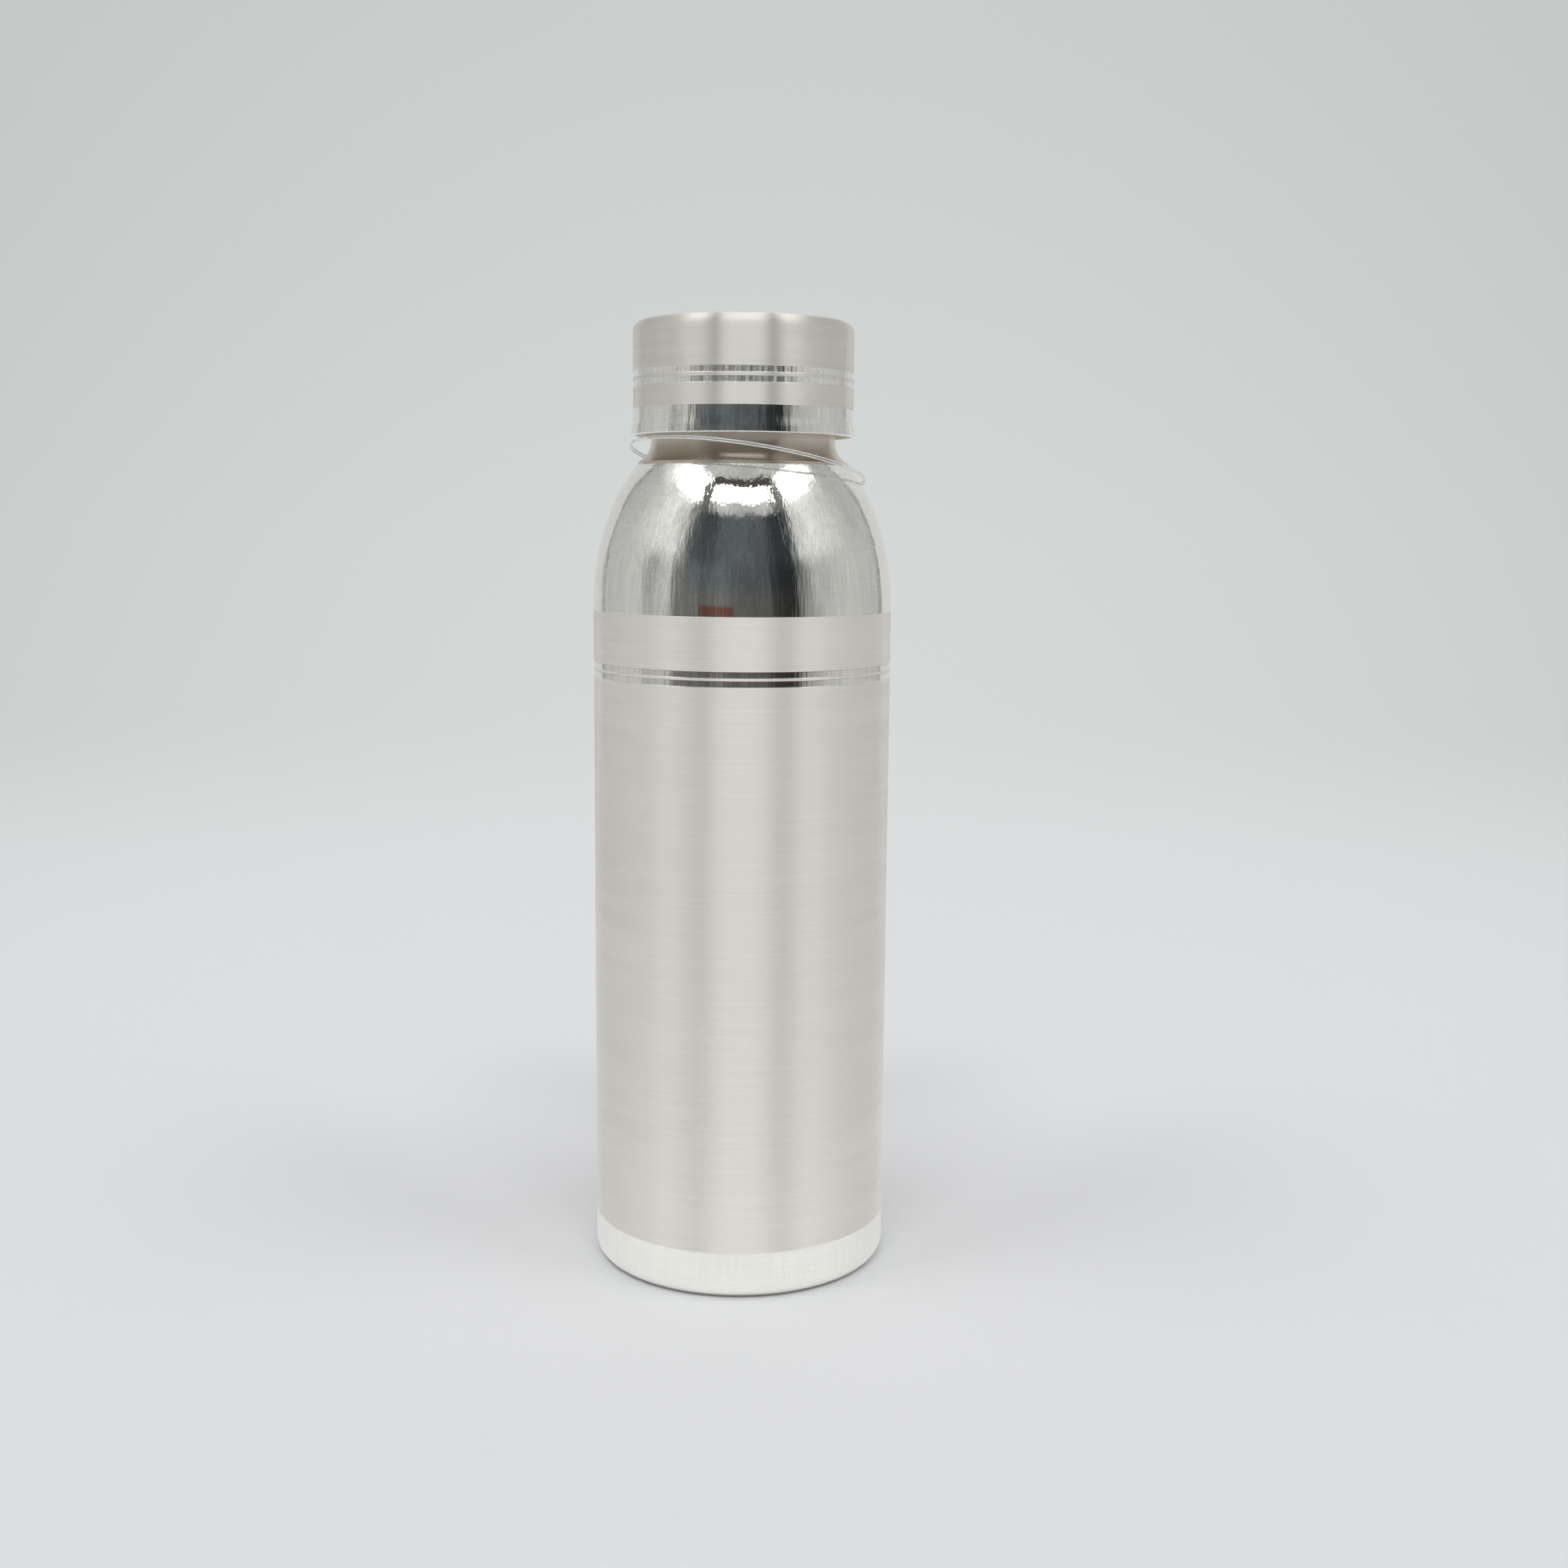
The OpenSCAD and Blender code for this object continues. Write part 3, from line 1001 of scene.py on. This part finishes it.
LAMP_DOTS = (
    (-180, 210), (-128, 198), (-112, 230), (-82, 222), (-60, 246), (-50, 214), (-46, 120), (-34, 110),
    (-29, 190), (-18, 206), (0, 184), (30, 206), (34, 110), (45, 130), (49, 240), (60, 250), (84, 232),
    (108, 190), (126, 166), (138, 214), (180, 214))
ROOF = (
    (-180, 120), (-125, 120), (-90, 170), (-58, 200), (-22, 190), (15, 180), (44, 200), (84, 190), (125, 120),
    (180, 120))

# Patches of the light box: from and to in turn, and in climb over the horizon, each with its softness
COOL_ROOM = ((-44.0, 42.0, 2.0), (6.0, 43.0, 4.0))
RED_THING = ((-31.0, -6.0, 1.0), (-3.5, -0.4, 0.8))
LAMP_BAR = ((-32.0, 35.0, 1.0), (50.0, 60.0, 1.0))
LAMP_ARCH = ((-43.0, 44.0, 1.5), (60.5, 67.0, 1.0))
LEFT_PANEL = (-118.0, -47.0, 2.0)
RIGHT_PANEL = (51.0, 118.0, 2.0)
PANEL_CLIMB = (45.0, 60.0, 3.5)


def grey_ramp(tree, turn, stops):
    """Greys round the bottle, by turn in degrees."""
    part = math_node(tree, "ADD", math_node(tree, "DIVIDE", turn, 360.0), 0.5)
    return ramp(tree, part, [((place + 180) / 360, "#" + f"{grey:02x}" * 3) for place, grey in stops])


def dimmed(tree, colour, scale):
    """A colour times a number."""
    return add_node(
        tree, "ShaderNodeVectorMath", {"operation": "SCALE"}, {0: colour, "Scale": scale}).outputs[0]


def glow(hex_colour, strength):
    """A light's colour at a strength."""
    return tuple(c * strength for c in linear(hex_colour)[:3]) + (1.0,)


def studio_world(world):
    """A white light box round the bottle: a dark front opening under a bank of lamps, white sides."""
    world.use_nodes = True
    tree = world.node_tree
    tree.nodes.clear()
    direction = add_node(tree, "ShaderNodeTexCoord").outputs["Generated"]
    axes = add_node(tree, "ShaderNodeSeparateXYZ", None, {0: direction}).outputs
    toward = math_node(tree, "MULTIPLY", axes["Y"], -1.0)
    turn = math_node(tree, "DEGREES", math_node(tree, "ARCTAN2", axes["X"], toward))
    climb = math_node(tree, "DEGREES", math_node(tree, "ARCSINE", axes["Z"]))
    aside = math_node(tree, "ABSOLUTE", turn)

    sky = grey_ramp(tree, turn, LOW_BAND)
    sky = blend_colours(tree, step_up(tree, climb, 18.0, 5.0), sky, grey_ramp(tree, turn, MIDDLE_BAND))
    # Faint upright folds in the sides and things in the room
    across = math_node(tree, "DIVIDE", turn, 1.6)
    up = math_node(tree, "DIVIDE", climb, 26.0)
    fold = add_node(tree, "ShaderNodeCombineXYZ", None, {0: across, 1: up}).outputs[0]
    folds = add_node(
        tree, "ShaderNodeTexNoise", None, {"Vector": fold, "Scale": 1.0, "Detail": 3.0}).outputs["Fac"]
    change = math_node(tree, "SUBTRACT", spread(tree, folds, 0.62, 1.38), 1.0)
    inside = window(tree, turn, -86.0, 68.0, 6.0)
    shade = math_node(tree, "ADD", 1.0, math_node(tree, "MULTIPLY", inside, change))
    sky = dimmed(tree, sky, shade)
    # The room behind the opening is a little blue, with something red low on the left
    cool = patch(tree, turn, climb, COOL_ROOM)
    sky = blend_colours(tree, cool, sky, linear("#e6f2fa"), "MULTIPLY")
    red = patch(tree, turn, climb, RED_THING)
    sky = blend_colours(tree, red, sky, linear("#ffbba6"), "MULTIPLY")

    # The bank of lamps: rows of dots under a bright bar, and bright panels along both sides
    sky = blend_colours(tree, step_up(tree, climb, 43.0, 3.0), sky, grey_ramp(tree, turn, LAMP_DOTS))
    bar = patch(tree, turn, climb, LAMP_BAR)
    sky = blend_colours(tree, bar, sky, glow("#ffffff", BAR_STRENGTH))
    lean = math_node(tree, "SUBTRACT", climb, math_node(tree, "MULTIPLY", aside, 0.05))
    sides = math_node(
        tree, "ADD", window(tree, turn, *LEFT_PANEL), window(tree, turn, *RIGHT_PANEL))
    panel = math_node(tree, "MULTIPLY", sides, window(tree, lean, *PANEL_CLIMB))
    # The panels are brightest at the front
    far = step_up(tree, aside, 85.0, 30.0)
    panels = blend_colours(tree, far, glow("#ffffff", PANEL_STRENGTH), glow("#ffffff", PANEL_STRENGTH / 5))
    sky = blend_colours(tree, panel, sky, panels)
    sky = blend_colours(tree, step_up(tree, lean, 62.0, 2.0), sky, grey_ramp(tree, turn, ROOF))
    arch = patch(tree, turn, climb, LAMP_ARCH)
    sky = blend_colours(tree, arch, sky, linear("#4f4c48"))

    # Under the horizon it is the white board
    board = step_up(tree, climb, -7.0, 1.0)
    sky = blend_colours(tree, board, linear("#dfdedd"), sky)

    # The plain pale backdrop that the camera sees
    height = math_node(tree, "DIVIDE", math_node(tree, "ADD", climb, 10.0), 40.0)
    corner = math_node(tree, "MINIMUM", math_node(tree, "POWER", axes["X"], 2.0), 0.16)
    edge = math_node(tree, "MULTIPLY", corner, 0.6)
    backdrop = ramp(tree, height, [(0.0, "#d8dada"), (0.25, "#d3d7d5"), (0.6, "#cbcfce"), (1.0, "#c8cccb")])
    backdrop = dimmed(tree, backdrop, math_node(tree, "SUBTRACT", 1.0, edge))
    seen = add_node(tree, "ShaderNodeLightPath").outputs["Is Camera Ray"]
    shown = blend_colours(tree, seen, sky, backdrop)
    light = add_node(tree, "ShaderNodeBackground", None, {"Color": shown, "Strength": 1.0})
    add_node(tree, "ShaderNodeOutputWorld", None, {"Surface": light.outputs[0]})


def floor_material():
    """Matte white board that fades into the backdrop, so that no horizon shows."""
    material, tree, shader = new_material("board_matte_white")
    grit = grain(tree, 40, 40, 3.0)
    base = colours().floor
    tree.links.new(blend_colours(tree, grit, base, darker(base, 0.99)), shader.inputs["Base Color"])
    shader.inputs["Roughness"].default_value = 0.7
    shader.inputs["Specular IOR Level"].default_value = 0.2
    place = add_node(tree, "ShaderNodeTexCoord").outputs["Object"]
    far = add_node(tree, "ShaderNodeVectorMath", {"operation": "LENGTH"}, {0: place}).outputs["Value"]
    fade = smooth_range(tree, far, FADE_FROM, FADE_TO)
    # The lamps' light comes back off the board close to the bottle, and the camera does not see it
    near = smooth_range(tree, far, THROWN_TO, THROWN_FROM)
    unseen = math_node(
        tree, "SUBTRACT", 1.0, add_node(tree, "ShaderNodeLightPath").outputs["Is Camera Ray"])
    thrown = math_node(tree, "MULTIPLY", math_node(tree, "MULTIPLY", near, unseen), THROWN_STRENGTH)
    shader.inputs["Emission Color"].default_value = linear("#ffffff")
    tree.links.new(thrown, shader.inputs["Emission Strength"])
    clear = add_node(tree, "ShaderNodeBsdfTransparent")
    mixed = add_node(
        tree, "ShaderNodeMixShader", None, {"Fac": fade, 1: shader.outputs[0], 2: clear.outputs[0]})
    output = next(n for n in tree.nodes if n.bl_idname == "ShaderNodeOutputMaterial")
    tree.links.new(mixed.outputs[0], output.inputs[0])
    return material


class BOTTLE_OT_stage(BottleOperator, bpy.types.Operator):
    """Make the floor, the light box and the camera."""

    bl_idname = "bottle.stage"
    bl_label = "Stage"

    def make(self):
        scene = bpy.context.scene
        scene.view_settings.view_transform = "Standard"
        world = bpy.data.worlds.new("light_box")
        scene.world = world
        studio_world(world)

        mesh = bpy.data.meshes.new("floor")
        shape = bmesh.new()
        bmesh.ops.create_circle(shape, cap_ends=True, segments=64, radius=FLOOR_R)
        shape.to_mesh(mesh)
        shape.free()
        mesh.materials.append(tool("board_matte_white", floor_material))
        floor = bpy.data.objects.new("floor", mesh)
        scene.collection.objects.link(floor)

        lens = bpy.data.cameras.new("camera")
        lens.lens = CAMERA_LENS
        lens.sensor_width = 36.0
        lens.clip_start = 0.01
        camera = bpy.data.objects.new("camera", lens)
        scene.collection.objects.link(camera)
        pitch = Matrix.Rotation(math.radians(90 - CAMERA_PITCH), 4, "X")
        roll = Matrix.Rotation(math.radians(CAMERA_ROLL), 4, "Z")
        camera.matrix_world = Matrix.Translation(Vector(CAMERA_MM) * MM) @ pitch @ roll
        scene.camera = camera


# ---------------------------------------------------------------- panel and registration

class BOTTLE_PT_panel(bpy.types.Panel):
    """The bottle's tools and properties."""

    bl_idname = "BOTTLE_PT_panel"
    bl_label = "Bottle"
    bl_space_type = "VIEW_3D"
    bl_region_type = "UI"
    bl_category = "Bottle"

    def draw(self, context):
        for operator in OPERATORS:
            self.layout.operator(operator.bl_idname)
        for group in (context.scene.bottle_sizes, context.scene.bottle_colours):
            column = self.layout.column()
            for name in group.__annotations__:
                column.prop(group, name)


OPERATORS = (
    BOTTLE_OT_stage, BOTTLE_OT_body, BOTTLE_OT_base, BOTTLE_OT_neck, BOTTLE_OT_cap, BOTTLE_OT_cap_inside,
    BOTTLE_OT_tag_loop,
)
CLASSES = (BottleSizes, BottleColours) + OPERATORS + (BOTTLE_PT_panel,)


def register():
    """Registers the classes and the scene's properties."""
    for each in CLASSES:
        bpy.utils.register_class(each)
    bpy.types.Scene.bottle_sizes = PointerProperty(type=BottleSizes)
    bpy.types.Scene.bottle_colours = PointerProperty(type=BottleColours)


def unregister():
    """Takes the properties and classes away again."""
    del bpy.types.Scene.bottle_colours
    del bpy.types.Scene.bottle_sizes
    for each in reversed(CLASSES):
        bpy.utils.unregister_class(each)


def main():
    """Builds the whole scene."""
    register()
    bpy.ops.bottle.stage()
    bpy.ops.bottle.body()
    bpy.ops.bottle.base()
    bpy.ops.bottle.neck()
    bpy.ops.bottle.cap()
    bpy.ops.bottle.cap_inside()
    bpy.ops.bottle.tag_loop()
    bpy.context.view_layer.update()


if __name__ == "__main__":
    main()
